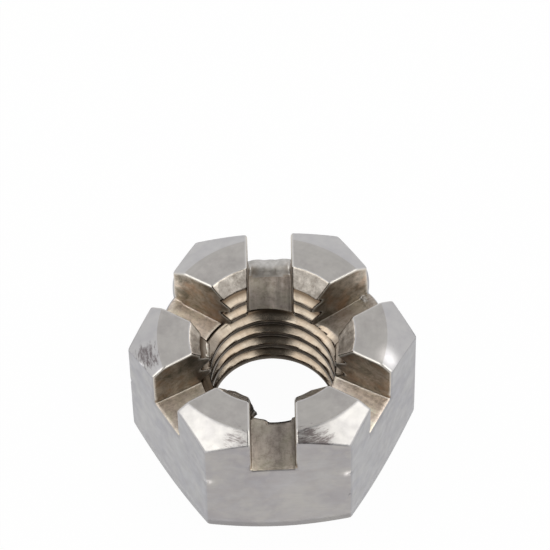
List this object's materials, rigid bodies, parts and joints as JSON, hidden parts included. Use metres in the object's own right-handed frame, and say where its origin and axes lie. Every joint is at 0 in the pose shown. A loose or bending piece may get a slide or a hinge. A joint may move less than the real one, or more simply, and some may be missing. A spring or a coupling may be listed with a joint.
{
  "type": "castle nut",
  "caption": "Hexagon castle nut with a helical metric thread and radial slots milled across its crown, so that a cotter pin can lock it on a drilled bolt.",
  "frame": {"origin": "centre of the bearing face, on the thread's axis", "axes": "+Z along the thread's axis from the bearing face to the slotted crown, -Y square to the flat that faces the viewer"},
  "size_m": [0.0196, 0.017, 0.0117],
  "materials": {
    "stainless_steel": "satin bar flats, milled slots and tapped thread, with scuffed chamfers"
  },
  "bodies": {
    "root": {"castle_nut": "stainless_steel"}
  },
  "joints": []
}
